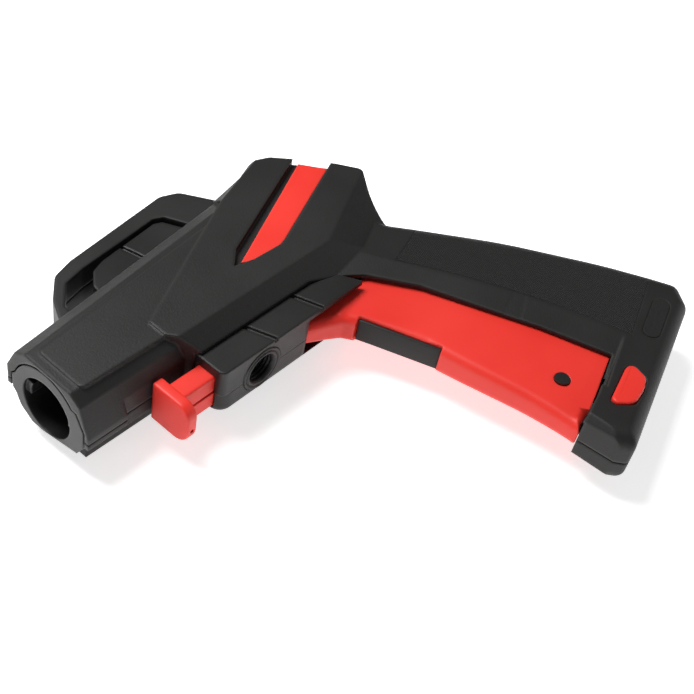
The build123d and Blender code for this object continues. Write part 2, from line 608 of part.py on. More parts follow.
spool -= ring(SPOOL_R + 1, SPOOL_WAIST_R, (waist_x + 3, SPOOL_Y, 0), (waist_x - 3, SPOOL_Y, 0))
spool_seals = []
for x in (waist_x - 5.0, SPOOL_END_X + 4.0):
    spool_seals.append(ring(SPOOL_R + RUN, SPOOL_R - 0.8, (x, SPOOL_Y, 0), (x - 1.4, SPOOL_Y, 0)))
for piece in spool_seals:
    spool -= piece
save("selector_spool", spool)
save("spool_seals", Compound(spool_seals))

# ---- core housing ----
core_flat = face(CORE_OUTLINE, [(1, 2.5)])
rod_room_x = ROD_END_X - KNOB_TRAVEL - MOVE
core_rooms = [
    trigger_room, arm_room,
    block(rod_room_x, CORE_FRONT_X + 1, ROD_Y0 - MOVE, ROD_Y1 + MOVE, -ROD_Z - MOVE, ROD_Z + MOVE),
    block(rod_room_x, CORE_FRONT_X + 1, TAIL_Y0 - MOVE, ROD_Y0, -TAIL_Z - MOVE, TAIL_Z + MOVE),
    cylinder(SPOOL_R + RUN, (CORE_FRONT_X, SPOOL_Y, 0), (SPOOL_END_X - KNOB_TRAVEL - 1, SPOOL_Y, 0)),
    cylinder(FEED_BORE_R, (PORT_X, CORE_TOP_Y, PORT_Z), (PORT_X, PORT_Y0 + 1, PORT_Z)),
    cylinder(FEED_R, (PORT_X, CORE_TOP_Y, PORT_Z), (PORT_X, feed_top, PORT_Z)),
    cylinder(PORT_SLEEVE_R, (PORT_X, PORT_Y0, PORT_Z), (PORT_X, CORE_LOW_Y + 1, PORT_Z)),
    cylinder(PORT_R, (PORT_X, CORE_LOW_Y - 1.6, PORT_Z), (PORT_X, CORE_LOW_Y + 1, PORT_Z)),
]
for start, end in (((-68.2, 20.0), (-74.6, 36.9)), ((-93.0, 20.0), (-99.4, 37.5))):
    cutter = stadium(start, end, GROOVE_W / 2)
    core_rooms += [slab(cutter, CORE_Z - GROOVE_D, CORE_Z + 1), slab(cutter, -CORE_Z - 1, -CORE_Z + GROOVE_D)]
core_left = slab(core_flat, 0, CORE_Z)
core_right = slab(face(CORE_OUTLINE, [(1, 6.0)]), -CORE_Z, 0)
low_edge = core_right.edges().filter_by(Axis.X).sort_by(Axis.Y)[-2:].sort_by(Axis.Z)[0]
core_right = fillet(low_edge, CORE_ROUND)
for room in core_rooms:
    core_left -= room
    core_right -= room
save("core_left", core_left)
save("core_right", core_right)
flange_y = CORE_LOW_Y - 1.6
port_bushing = ring(PORT_R, PORT_BORE_R, (PORT_X, flange_y, PORT_Z), (PORT_X, CORE_LOW_Y + PORT_PROUD, PORT_Z))
port_bushing += ring(PORT_SLEEVE_R, PORT_BORE_R, (PORT_X, PORT_Y0 + 1.6, PORT_Z), (PORT_X, flange_y, PORT_Z))
save("port_bushing", port_bushing)
port_gasket = ring(PORT_SLEEVE_R, FEED_BORE_R, (PORT_X, PORT_Y0, PORT_Z), (PORT_X, PORT_Y0 + 1.6, PORT_Z))
save("port_gasket", port_gasket)

# ---- guard block under the hook ----
block_bar = both(face(BLOCK_OUTLINE, [(2, 3.0), (5, 2.0)]), BLOCK_Z)
block_bar -= body_only
for z0 in (BLOCK_Z - 1.2, -BLOCK_Z - 1.0):
    block_bar -= slab(stadium((-66.2, -38.5), (-70.0, -24.0), 0.8), z0, z0 + 2.2)
block_bar -= block(-100, -40, -45, -34.6, -0.4, 0.4)
save("guard_block_left", block_bar & block(-120, -20, -60, 0, 0, 20))
save("guard_block_right", block_bar & block(-120, -20, -60, 0, -20, 0))

# ---- strips and pads ----
strip_flat = face(STRIP_OUTLINE, [(1, 2.0), (3, 2.0)])
strip_seat = STRIP_TOP - STRIP_T
strips = [slab(strip_flat, strip_seat, STRIP_TOP), slab(strip_flat, -STRIP_TOP, -strip_seat)]
save("badge_strips", Compound(strips))
recess_flat = face(STRIP_RECESS)
pad_flat = stadium(*PAD_LINE, PAD_R)
pad_seat = {1: GRIP_Z - PAD_DEPTH, -1: GRIP_LOW_Z - PAD_DEPTH}

# ---- lock button ----
button_flat = face(BUTTON_OUTLINE, [(0, 1.0), (1, 1.5), (3, 1.5), (4, 2.0), (6, 3.0)])
flange_top = GRIP_Z - WALL - 0.05
lock_button = slab(button_flat, flange_top, GRIP_Z + BUTTON_PROUD)
lock_button += slab(offset(button_flat, BUTTON_FLANGE), flange_top - BUTTON_FLANGE_T, flange_top)
save("lock_button", lock_button)
spring_l = flange_top - BUTTON_FLANGE_T - BUTTON_POST_Z
save("button_spring", coil(2.2, 0.35, spring_l, 6, (*BUTTON_AT, BUTTON_POST_Z), (0, 0, 1)))

# ---- covers ----
rib_rooms = [tube_bar, cylinder(valve_r, on_stem(VALVE_FRONT_X), on_stem(VALVE_BACK_X)), trigger_room, arm_room]
rib_rooms.append(cylinder(HOSE_R + MOVE, spigot_start, spigot_start + spigot_dir * SPIGOT_L))
collar_rib = block(COLLAR_GROOVE_X - SEAM - COLLAR_RIB_T, COLLAR_GROOVE_X - SEAM, -30, 30, -30, 30)
collar_rib -= cylinder(COLLAR_GROOVE_R + SEAM, (0, 0, 0), (-COLLAR_L, 0, 0))
ribs = collar_rib + block(-40, -38, -40, 13, -30, 30) + block(-88, -86, -40, 13, -30, 30)
ribs += block(-140.5, -138.5, -40, 26, -30, 30)
cradle = cylinder(CRADLE_R, inlet_at(0.5), inlet_at(fitting_back + CRADLE_T))
inlet_room = cylinder(INLET_MOUTH_R, inlet_at(-2), inlet_at(INLET_RECESS))
inlet_room += cylinder(INLET_R, inlet_at(INLET_RECESS), inlet_at(fitting_back))
inlet_room += cylinder(HOSE_R, inlet_at(fitting_back), inlet_at(fitting_back + CRADLE_T))
core_room = both(offset(core_flat, SEAM), CORE_Z + SEAM)
bracket_slot = both(offset(bracket_flat, SEAM), BRACKET_Z)
front_room = (collar_bar & barrel(NOSE_WALL, 1.0, NOSE_BACK_X)) & block(-NOSE_FRONT_L - 1, 2, -30, 30, -30, 30)
spool_room = block(CORE_FRONT_X - 1, -30, ROD_Y0 - 1.0, ROD_Y1 + 1.0, -ROD_Z - 1, ROD_Z + 1)


def posts(sign):
    """Screw bosses of one cover, from its wall to the parting plane."""
    shapes = [cylinder(POST_R, (*at, 0), (*at, sign * 30)) for at in SCREW_AT]
    if sign < 0:
        shapes += [cylinder(HEAD_POST_R, (*at, HEAD_Z + 1), (*at, -30)) for at in SCREW_AT]
        shapes.append(cylinder(BUTTON_POST_R, (*BUTTON_AT, BUTTON_POST_Z), (*BUTTON_AT, -30)))
    return shapes


def cover(sign):
    """One moulded cover: +1 is the left one, -1 the right one."""
    half = block(-260, 20, -80, 180, min(0, sign * 60), max(0, sign * 60))
    shape = (outside & half) - cavity
    pan = slab(offset(recess_flat, PAN_T), strip_seat - PAN_T, BODY_Z)
    if sign < 0:
        pan = mirror(pan, Plane.XY)
    inner = (ribs & half) + (cradle & half) + pan
    for room in rib_rooms:
        inner -= room
    inner &= body_only
    shape += inner
    for post in posts(sign):
        shape += post & body_only
    cuts = [front_room, trigger_room, arm_room, core_room, bracket_slot, inlet_room, parting, spool_room]
    recess = slab(recess_flat, strip_seat, 30)
    pad = slab(pad_flat, pad_seat[sign], 30)
    cuts += [recess, pad] if sign > 0 else [mirror(recess, Plane.XY), mirror(pad, Plane.XY)]
    if sign > 0:
        cuts.append(slab(offset(button_flat, SEAM), 0, 30))
        cuts.append(slab(offset(button_flat, BUTTON_FLANGE + SEAM), 0, flange_top + 0.05))
        cuts += [cylinder(SHANK_R, (*at, 0), (*at, SHANK_END + 0.5)) for at in SCREW_AT]
    else:
        cuts.append(block(-SET_BACK, 1, -30, 30, -30, -3))
        cuts += [cylinder(SHANK_HOLE_R, (*at, 0), (*at, HEAD_Z)) for at in SCREW_AT]
        cuts += [cylinder(HEAD_HOLE_R, (*at, HEAD_Z), (*at, -30)) for at in SCREW_AT]
    for cut in cuts:
        shape -= cut
    return shape


save("left_cover", cover(1))
save("right_cover", cover(-1))
for sign, side in ((1, "left"), (-1, "right")):
    top = pad_seat[sign] + PAD_T
    low, high = sorted((sign * pad_seat[sign], sign * top))
    save("butt_pad_" + side, slab(pad_flat, low, high))
screws = []
for at in SCREW_AT:
    top = HEAD_Z - HEAD_T
    head = cylinder(HEAD_R, (*at, top), (*at, HEAD_Z))
    for arm_x, arm_y in ((1.7, 0.4), (0.4, 1.7)):
        head -= block(at[0] - arm_x, at[0] + arm_x, at[1] - arm_y, at[1] + arm_y, top - 1, top + 1.2)
    screws.append(head + cylinder(SHANK_R, (*at, HEAD_Z), (*at, SHANK_END)))
save("cover_screws", Compound(screws))
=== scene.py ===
import math
import bmesh
import bpy
from mathutils import Matrix, Vector


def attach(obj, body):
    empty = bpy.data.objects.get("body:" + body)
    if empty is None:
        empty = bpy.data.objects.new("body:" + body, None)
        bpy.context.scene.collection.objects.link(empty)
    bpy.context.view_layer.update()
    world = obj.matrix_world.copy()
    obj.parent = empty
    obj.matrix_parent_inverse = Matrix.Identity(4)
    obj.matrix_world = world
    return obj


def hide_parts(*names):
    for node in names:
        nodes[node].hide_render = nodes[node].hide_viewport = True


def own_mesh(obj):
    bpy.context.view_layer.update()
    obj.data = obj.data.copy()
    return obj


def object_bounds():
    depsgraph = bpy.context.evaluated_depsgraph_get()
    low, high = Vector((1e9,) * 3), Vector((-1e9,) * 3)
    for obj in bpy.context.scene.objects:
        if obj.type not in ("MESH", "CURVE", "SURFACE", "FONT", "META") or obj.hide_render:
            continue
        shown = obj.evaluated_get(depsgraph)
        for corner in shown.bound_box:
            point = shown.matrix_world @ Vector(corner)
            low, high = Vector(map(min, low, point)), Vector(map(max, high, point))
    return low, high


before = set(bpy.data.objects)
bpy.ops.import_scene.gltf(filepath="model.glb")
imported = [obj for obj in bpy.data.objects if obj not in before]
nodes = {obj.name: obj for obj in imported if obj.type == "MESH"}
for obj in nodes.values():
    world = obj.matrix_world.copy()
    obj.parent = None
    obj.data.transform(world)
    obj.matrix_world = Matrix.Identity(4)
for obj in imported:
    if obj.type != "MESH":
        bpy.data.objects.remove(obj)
cad_low, cad_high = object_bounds()
MM = 0.001

# Camera.
# A long lens looks down on the gun's left side from in front of and below the grip.
camera_data = bpy.data.cameras.new("camera")
camera_data.sensor_width = 36.0
camera_data.lens = 63.23
camera_data.clip_start = 0.01
camera = bpy.data.objects.new("camera", camera_data)
right = Vector((-0.65107, 0.74326, 0.15385))
up = Vector((-0.47283, -0.55572, 0.68381))
back = Vector((0.59376, 0.37246, 0.71325))
turn = Matrix((right, up, back)).transposed().to_4x4()
camera.matrix_world = Matrix.Translation(Vector((167.789, 216.471, 322.403)) * MM) @ turn
bpy.context.scene.collection.objects.link(camera)
bpy.context.scene.camera = camera
bpy.context.scene.view_settings.view_transform = "Standard"

# Studio.
# A white table and three large soft lamps in a white room.
bm = bmesh.new()
bmesh.ops.create_grid(bm, x_segments=1, y_segments=1, size=3.0)
bmesh.ops.translate(bm, vec=(0, 0, cad_low.z - 0.0003), verts=bm.verts)
table_mesh = bpy.data.meshes.new("table")
bm.to_mesh(table_mesh)
bm.free()
table = bpy.data.objects.new("table", table_mesh)
bpy.context.scene.collection.objects.link(table)
table_paint = bpy.data.materials.new("table_paint")
table_paint.use_nodes = True
paint = table_paint.node_tree.nodes["Principled BSDF"]
paint.inputs["Base Color"].default_value = (0.93, 0.93, 0.93, 1)
paint.inputs["Roughness"].default_value = 0.9
paint.inputs["Specular IOR Level"].default_value = 0.1
paint.inputs["Emission Color"].default_value = (1, 1, 1, 1)
paint.inputs["Emission Strength"].default_value = 0.66
table_mesh.materials.append(table_paint)

room = bpy.data.worlds.new("room")
room.use_nodes = True
room.node_tree.nodes["Background"].inputs["Color"].default_value = (1, 1, 1, 1)
room.node_tree.nodes["Background"].inputs["Strength"].default_value = 0.16
bpy.context.scene.world = room
for name, place, size, power in (
    ("overhead", (0.04, -0.40, 0.85), 0.45, 11.0),
    ("front_fill", (0.8, -0.25, 0.3), 0.3, 0.5),
    ("side_fill", (-0.75, 0.55, 0.3), 0.3, 0.8),
):
    lamp = bpy.data.lights.new(name, "AREA")
    lamp.size = size
    lamp.energy = power
    lamp_object = bpy.data.objects.new(name, lamp)
    lamp_object.location = place
    aim = Vector((-0.11, 0.04, 0)) - Vector(place)
    lamp_object.rotation_euler = aim.to_track_quat("-Z", "Y").to_euler()
    bpy.context.scene.collection.objects.link(lamp_object)

# Covers.
# Two charcoal nylon mouldings meet on the middle plane; each has a spark-eroded skin, and its grip
# carries a fine knurl that stops at a shallow border along the trigger and the butt.
spark = bpy.data.node_groups.new("spark_skin", "ShaderNodeTree")
spark.interface.new_socket("Scale", in_out="INPUT", socket_type="NodeSocketFloat")
spark.interface.new_socket("Height", in_out="OUTPUT", socket_type="NodeSocketFloat")
spark.interface.new_socket("Tone", in_out="OUTPUT", socket_type="NodeSocketFloat")
s_in = spark.nodes.new("NodeGroupInput")
s_out = spark.nodes.new("NodeGroupOutput")
s_place = spark.nodes.new("ShaderNodeTexCoord")
s_fine = spark.nodes.new("ShaderNodeTexNoise")
s_fine.inputs["Detail"].default_value = 3.0
s_broad = spark.nodes.new("ShaderNodeTexNoise")
s_broad.inputs["Scale"].default_value = 22.0
s_broad.inputs["Detail"].default_value = 4.0
s_tone = spark.nodes.new("ShaderNodeMapRange")
s_tone.inputs["From Min"].default_value = 0.3
s_tone.inputs["From Max"].default_value = 0.7
spark.links.new(s_place.outputs["Object"], s_fine.inputs["Vector"])
spark.links.new(s_place.outputs["Object"], s_broad.inputs["Vector"])
spark.links.new(s_in.outputs["Scale"], s_fine.inputs["Scale"])
spark.links.new(s_fine.outputs["Fac"], s_out.inputs["Height"])
spark.links.new(s_broad.outputs["Fac"], s_tone.inputs["Value"])
spark.links.new(s_tone.outputs["Result"], s_out.inputs["Tone"])

edges = bpy.data.node_groups.new("moulded_edges", "ShaderNodeTree")
edges.interface.new_socket("Radius", in_out="INPUT", socket_type="NodeSocketFloat")
edges.interface.new_socket("Normal", in_out="OUTPUT", socket_type="NodeSocketVector")
edges.interface.new_socket("Edge", in_out="OUTPUT", socket_type="NodeSocketFloat")
e_in = edges.nodes.new("NodeGroupInput")
e_out = edges.nodes.new("NodeGroupOutput")
e_round = edges.nodes.new("ShaderNodeBevel")
e_round.samples = 8
e_true = edges.nodes.new("ShaderNodeNewGeometry")
e_dot = edges.nodes.new("ShaderNodeVectorMath")
e_dot.operation = "DOT_PRODUCT"
e_mask = edges.nodes.new("ShaderNodeMapRange")
e_mask.inputs["From Min"].default_value = 0.995
e_mask.inputs["From Max"].default_value = 0.86
edges.links.new(e_in.outputs["Radius"], e_round.inputs["Radius"])
edges.links.new(e_round.outputs["Normal"], e_out.inputs["Normal"])
edges.links.new(e_round.outputs["Normal"], e_dot.inputs[0])
edges.links.new(e_true.outputs["Normal"], e_dot.inputs[1])
edges.links.new(e_dot.outputs["Value"], e_mask.inputs["Value"])
edges.links.new(e_mask.outputs["Result"], e_out.inputs["Edge"])


def moulded(name, dark, light, edge_highlight_colour, roughness, grain, depth, radius):
    """A moulded plastic or rubber: two tones in soft clouds, a fine grain and edges painted lighter as a painted
    highlight.
    """
    finish = bpy.data.materials.new(name)
    finish.use_nodes = True
    tree = finish.node_tree
    shader = tree.nodes["Principled BSDF"]
    shader.inputs["Specular IOR Level"].default_value = 0.33
    skin = tree.nodes.new("ShaderNodeGroup")
    skin.node_tree = spark
    skin.inputs["Scale"].default_value = grain
    rim = tree.nodes.new("ShaderNodeGroup")
    rim.node_tree = edges
    rim.inputs["Radius"].default_value = radius
    tone = tree.nodes.new("ShaderNodeMix")
    tone.data_type = "RGBA"
    tone.inputs["A"].default_value = (*dark, 1)
    tone.inputs["B"].default_value = (*light, 1)
    # The edge mask mixes the rounded edges towards a lighter colour: a painted highlight along the edges.
    edge_highlight_mix = tree.nodes.new("ShaderNodeMix")
    edge_highlight_mix.data_type = "RGBA"
    edge_highlight_mix.inputs["B"].default_value = (*edge_highlight_colour, 1)
    edge_highlight_amount = tree.nodes.new("ShaderNodeMath")
    edge_highlight_amount.operation = "MULTIPLY"
    edge_highlight_amount.inputs[1].default_value = 0.6
    gloss = tree.nodes.new("ShaderNodeMapRange")
    gloss.inputs["To Min"].default_value = roughness - 0.05
    gloss.inputs["To Max"].default_value = roughness + 0.07
    bump = tree.nodes.new("ShaderNodeBump")
    bump.inputs["Strength"].default_value = 0.7
    bump.inputs["Distance"].default_value = depth
    tree.links.new(skin.outputs["Tone"], tone.inputs["Factor"])
    tree.links.new(tone.outputs["Result"], edge_highlight_mix.inputs["A"])
    tree.links.new(rim.outputs["Edge"], edge_highlight_amount.inputs[0])
    tree.links.new(edge_highlight_amount.outputs["Value"], edge_highlight_mix.inputs["Factor"])
    tree.links.new(edge_highlight_mix.outputs["Result"], shader.inputs["Base Color"])
    tree.links.new(skin.outputs["Tone"], gloss.inputs["Value"])
    tree.links.new(gloss.outputs["Result"], shader.inputs["Roughness"])
    tree.links.new(skin.outputs["Height"], bump.inputs["Height"])
    tree.links.new(rim.outputs["Normal"], bump.inputs["Normal"])
    tree.links.new(bump.outputs["Normal"], shader.inputs["Normal"])
    return finish


def dress(finish, *names):
    """Gives CAD pieces a finish."""
    for piece in names:
        nodes[piece].data.materials.clear()
        nodes[piece].data.materials.append(finish)


charcoal = moulded(
    "charcoal_nylon", dark=(0.0105, 0.0099, 0.0096), light=(0.0150, 0.0142, 0.0137),
    edge_highlight_colour=(0.042, 0.040, 0.038), roughness=0.5, grain=1500.0, depth=0.00012, radius=0.0016,
)
tree = charcoal.node_tree
charcoal_bump = tree.nodes["Bump"]
place = tree.nodes.new("ShaderNodeTexCoord")
to_mm = tree.nodes.new("ShaderNodeVectorMath")
to_mm.operation = "SCALE"
to_mm.inputs["Scale"].default_value = 1000.0
axes = tree.nodes.new("ShaderNodeSeparateXYZ")
tree.links.new(place.outputs["Object"], to_mm.inputs[0])
tree.links.new(to_mm.outputs["Vector"], axes.inputs["Vector"])


def combine(operation, *values):
    """A Math node of the charcoal finish, fed by sockets or numbers."""
    node = tree.nodes.new("ShaderNodeMath")
    node.operation = operation
    for index, value in enumerate(values):
        if isinstance(value, (int, float)):
            node.inputs[index].default_value = value
        else:
            tree.links.new(value, node.inputs[index])
    return node.outputs["Value"]


x, y, z = axes.outputs["X"], axes.outputs["Y"], axes.outputs["Z"]
from_top = combine("SUBTRACT", y, 38.5)
bend = combine("MULTIPLY", combine("MULTIPLY", from_top, combine("SUBTRACT", y, 80.3)), 0.00222)
ridge = combine("ADD", combine("MULTIPLY_ADD", from_top, -0.548, -140.6), bend)
inside_ridge = combine("SUBTRACT", ridge, x)
below_top = combine("SUBTRACT", combine("MULTIPLY_ADD", combine("ADD", x, 150.0), -0.30, y), 33.5)
above_butt = combine("SUBTRACT", combine("MULTIPLY_ADD", combine("ADD", x, 184.7), 0.362, 120.0), y)
off_seam = combine("SUBTRACT", combine("ABSOLUTE", z), 1.0)
nearest = combine(
    "MINIMUM", combine("MINIMUM", inside_ridge, below_top), combine("MINIMUM", above_butt, off_seam)
)
zone = tree.nodes.new("ShaderNodeMapRange")
zone.inputs["From Min"].default_value = 0.0
zone.inputs["From Max"].default_value = 0.35
tree.links.new(nearest, zone.inputs["Value"])
border_half_width = 0.45
from_border = combine("MINIMUM", combine("ABSOLUTE", combine("DIVIDE", nearest, border_half_width)), 1.0)
border = combine("SUBTRACT", 1.0, from_border)
wave_number = 4.6
across = combine("SINE", combine("MULTIPLY", combine("ADD", combine("ADD", x, y), z), wave_number))
along = combine("SINE", combine("MULTIPLY", combine("SUBTRACT", combine("SUBTRACT", x, y), z), wave_number))
diamonds = combine("MULTIPLY_ADD", combine("MULTIPLY", across, along), 0.5, 0.5)
knurl = combine("MULTIPLY", diamonds, zone.outputs["Result"])
grain = next(link.from_socket for link in tree.links if link.to_socket == charcoal_bump.inputs["Height"])
knurl_relief = 4.6
border_relief = -5.0
edged_grain = combine("MULTIPLY_ADD", border, border_relief, grain)
relief = combine("MULTIPLY_ADD", knurl, knurl_relief, edged_grain)
tree.links.new(relief, charcoal_bump.inputs["Height"])
charcoal_shader = tree.nodes["Principled BSDF"]
plain_colour = charcoal_shader.inputs["Base Color"].links[0].from_socket
# The knurl's valleys are painted darker than its raised diamonds: painted shade between the diamonds of the grip
# zone.
knurl_valley_shade = tree.nodes.new("ShaderNodeMix")
knurl_valley_shade.data_type = "RGBA"
knurl_valley_shade.inputs["B"].default_value = (0.006, 0.0057, 0.0055, 1)
valley_shade_amount = combine("MULTIPLY", combine("MULTIPLY_ADD", knurl, -0.7, 0.85), zone.outputs["Result"])
tree.links.new(plain_colour, knurl_valley_shade.inputs["A"])
tree.links.new(valley_shade_amount, knurl_valley_shade.inputs["Factor"])
tree.links.new(knurl_valley_shade.outputs["Result"], charcoal_shader.inputs["Base Color"])
dress(charcoal, "left_cover", "right_cover")

# Core housing, port sleeve and guard block.
# The two grooved halves of the boss carry the valve parts; the ringed sleeve is pressed into them,
# and the block under the hook is moulded in the same smoother nylon.
smooth_nylon = moulded(
    "smooth_nylon", dark=(0.0100, 0.0096, 0.0093), light=(0.0140, 0.0134, 0.0130),
    edge_highlight_colour=(0.034, 0.033, 0.032), roughness=0.42, grain=1900.0, depth=0.00007, radius=0.0013,
)
dress(smooth_nylon, "core_left", "core_right", "guard_block_left", "guard_block_right")

# Outlet collar.
# Glass-filled black nylon, clamped between the covers by its groove, with two bayonet lugs in its
# socket.
collar_nylon = moulded(
    "collar_nylon", dark=(0.0080, 0.0078, 0.0077), light=(0.0120, 0.0117, 0.0115),
    edge_highlight_colour=(0.030, 0.029, 0.028), roughness=0.4, grain=1300.0, depth=0.00006, radius=0.0010,
)
dress(collar_nylon, "outlet_collar")

# Badge strips and lock button.
# Satin red mouldings let into the covers; the strips are glued, the button slides in its hole.
signal_red = moulded(
    "signal_red", dark=(0.74, 0.030, 0.020), light=(0.82, 0.040, 0.027), edge_highlight_colour=(0.86, 0.085, 0.062),
    roughness=0.4, grain=1700.0, depth=0.00005, radius=0.0010,
)
dress(signal_red, "badge_strips")

# Butt pads.
# Soft black rubber pads with a coarse grain, one each side of the butt.
pad_rubber = moulded(
    "pad_rubber", dark=(0.005, 0.005, 0.005), light=(0.012, 0.012, 0.0115), edge_highlight_colour=(0.016, 0.016, 0.015),
    roughness=0.75, grain=620.0, depth=0.0005, radius=0.0006,
)
dress(pad_rubber, "butt_pad_left", "butt_pad_right")

# Trigger.
# A red lever as long as the grip, thick at its back and thin at the front, rounded where the fingers
# pull; it turns on a steel pin, and a notch in its front holds the finger insert.
trigger_line = [
    (-130.6, 132.8, 0), (-130.2, 117.8, 12.0), (-121.4, 78.2, 9.0), (-119.9, 68.6, 9.0), (-110.3, 46.8, 9.0),
    (-105.6, 41.2, 6.0), (-100.6, 38.6, 6.0), (-91.3, 34.6, 2.5), (-88.9, 31.0, 1.0), (-120.5, 31.0, 0.0),
    (-129.0, 34.4, 4.0), (-141.0, 52.4, 8.0), (-159.4, 95.2, 15.0), (-168.0, 120.9, 1.0), (-144.6, 128.9, 6.0),
]
back_half = 9.25
taper = 3.3 / 32.0
pivot = Vector((-144.0, 115.0, 0.0))


def flat_outline(bm, corners):
    """A flat face from corners (x, y, rounding), in millimetres."""
    points = [bm.verts.new((cx, cy, 0)) for cx, cy, rounding in corners]
    bm.faces.new(points)
    for point, (cx, cy, rounding) in zip(points, corners):
        if rounding > 0:
            bmesh.ops.bevel(
                bm, geom=[point], offset=rounding, offset_type="OFFSET", segments=7, profile=0.5,
                affect="VERTICES", material=-1,
            )
    return bm.faces[:]


def raised(bm, faces, height):
    """Pulls flat faces up along Z and returns the vertices of the raised side."""
    grown = bmesh.ops.extrude_face_region(bm, geom=faces)
    top = [item for item in grown["geom"] if isinstance(item, bmesh.types.BMVert)]
    bmesh.ops.translate(bm, vec=(0, 0, height), verts=top)
    return top


def finished(bm, name, finish, body, smooth_angle=40.0):
    """Turns a bmesh in millimetres into a piece of the gun."""
    bmesh.ops.remove_doubles(bm, verts=bm.verts, dist=0.001)
    bmesh.ops.recalc_face_normals(bm, faces=bm.faces)
    bmesh.ops.scale(bm, vec=(MM, MM, MM), verts=bm.verts)
    mesh = bpy.data.meshes.new(name)
    bm.to_mesh(mesh)
    bm.free()
    mesh.shade_smooth()
    mesh.set_sharp_from_angle(angle=math.radians(smooth_angle))
    mesh.materials.append(finish)
    piece = bpy.data.objects.new(name, mesh)
    bpy.context.scene.collection.objects.link(piece)
    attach(piece, body)
    return piece


def carved(piece, cutters):
    """Cuts closed shapes out of a piece, then removes them."""
    for shape in cutters:
        cutter_mesh = bpy.data.meshes.new("cutter")
        bmesh.ops.recalc_face_normals(shape, faces=shape.faces)
        bmesh.ops.scale(shape, vec=(MM, MM, MM), verts=shape.verts)
        shape.to_mesh(cutter_mesh)
        shape.free()
        cutter = bpy.data.objects.new("cutter", cutter_mesh)
        bpy.context.scene.collection.objects.link(cutter)
        cut = piece.modifiers.new("cut", "BOOLEAN")
        cut.operation = "DIFFERENCE"
        cut.solver = "EXACT"
        cut.object = cutter
        bpy.context.view_layer.update()
        shaped = piece.evaluated_get(bpy.context.evaluated_depsgraph_get())
        mesh = bpy.data.meshes.new_from_object(shaped)
        piece.modifiers.clear()
        old = piece.data
        piece.data = mesh
        bpy.data.meshes.remove(old)
        bpy.data.objects.remove(cutter)
    piece.data.set_sharp_from_angle(angle=math.radians(40.0))


def bar(corners, half):
    """A closed cutter with a flat outline, half as thick each way."""
    shape = bmesh.new()
    faces = flat_outline(shape, corners)
    bmesh.ops.translate(shape, vec=(0, 0, -half), verts=shape.verts)
    raised(shape, faces, 2 * half)
    return shape


bm = bmesh.new()
lever_faces = flat_outline(bm, trigger_line)
top = raised(bm, lever_faces, back_half)
middle_faces = [f for f in bm.faces if all(v.co.z < 0.01 for v in f.verts)]
bmesh.ops.delete(bm, geom=middle_faces, context="FACES_ONLY")
slope_from = Vector((-168.0, 121.0))
slope_dir = Vector((69.0, 27.0)).normalized()
for vert in top:
    reach = (Vector((vert.co.x, vert.co.y)) - slope_from).dot(slope_dir)
    vert.co.z = back_half - max(0.0, reach) * taper
front_edges = []
for edge in bm.edges:
    middle = (edge.verts[0].co + edge.verts[1].co) / 2
    in_front = middle.x + (middle.y - 131) * 0.22 > -136 and 33.5 < middle.y < 132.2
    if in_front and all(v.co.z > 2 for v in edge.verts):
        front_edges.append(edge)
bmesh.ops.bevel(
    bm, geom=front_edges, offset=3.6, offset_type="OFFSET", segments=8, profile=0.5, affect="EDGES",
    material=-1,
)
bmesh.ops.mirror(bm, geom=bm.verts[:] + bm.edges[:] + bm.faces[:], axis="Z", merge_dist=0.001)
trigger = finished(bm, "trigger", signal_red, "trigger")
hole = bmesh.new()
bmesh.ops.create_cone(hole, cap_ends=True, segments=48, radius1=3.1, radius2=3.1, depth=40)
bmesh.ops.translate(hole, vec=pivot, verts=hole.verts)
notch = bar([(-105.0, 45.6, 0), (-117.0, 76.7, 0), (-123.4, 75.0, 0.8), (-111.3, 43.9, 0.8)], 12)
slot_room = bar([(-152.0, 104.0, 6.0), (-136.5, 104.0, 6.0), (-131.5, 140.0, 0), (-147.5, 140.0, 0)], 3.7)
carved(trigger, [hole, notch, slot_room])
bm = bmesh.new()
raised(bm, flat_outline(bm, [(-103.2, 34, 0), (-103.2, 14.2, 2), (-109.4, 12.2, 1), (-109.4, 34, 0)]), 7.6)
bmesh.ops.translate(bm, vec=(0, 0, -3.8), verts=bm.verts)
finished(bm, "trigger_arm", signal_red, "trigger")
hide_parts("trigger_lever")

# Finger insert.
# A charcoal rubber pad pressed into the trigger's notch, a little below the red surface.
bm = bmesh.new()
insert_line = [(-110.2, 44.8, 0), (-122.0, 75.2, 0), (-123.3, 74.8, 0), (-111.4, 44.1, 0)]
raised(bm, flat_outline(bm, insert_line), 10.0)
bmesh.ops.translate(bm, vec=(0, 0, -5.0), verts=bm.verts)
bmesh.ops.bevel(
    bm, geom=bm.edges[:], offset=0.35, offset_type="OFFSET", segments=3, profile=0.5, affect="EDGES",
    material=-1,
)
insert_rubber = moulded(
    "insert_rubber", dark=(0.014, 0.0135, 0.013), light=(0.020, 0.0195, 0.019),
    edge_highlight_colour=(0.034, 0.033, 0.032), roughness=0.6, grain=1400.0, depth=0.0001, radius=0.0004,
)
insert = finished(bm, "finger_insert", insert_rubber, "trigger")
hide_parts("trigger_insert")

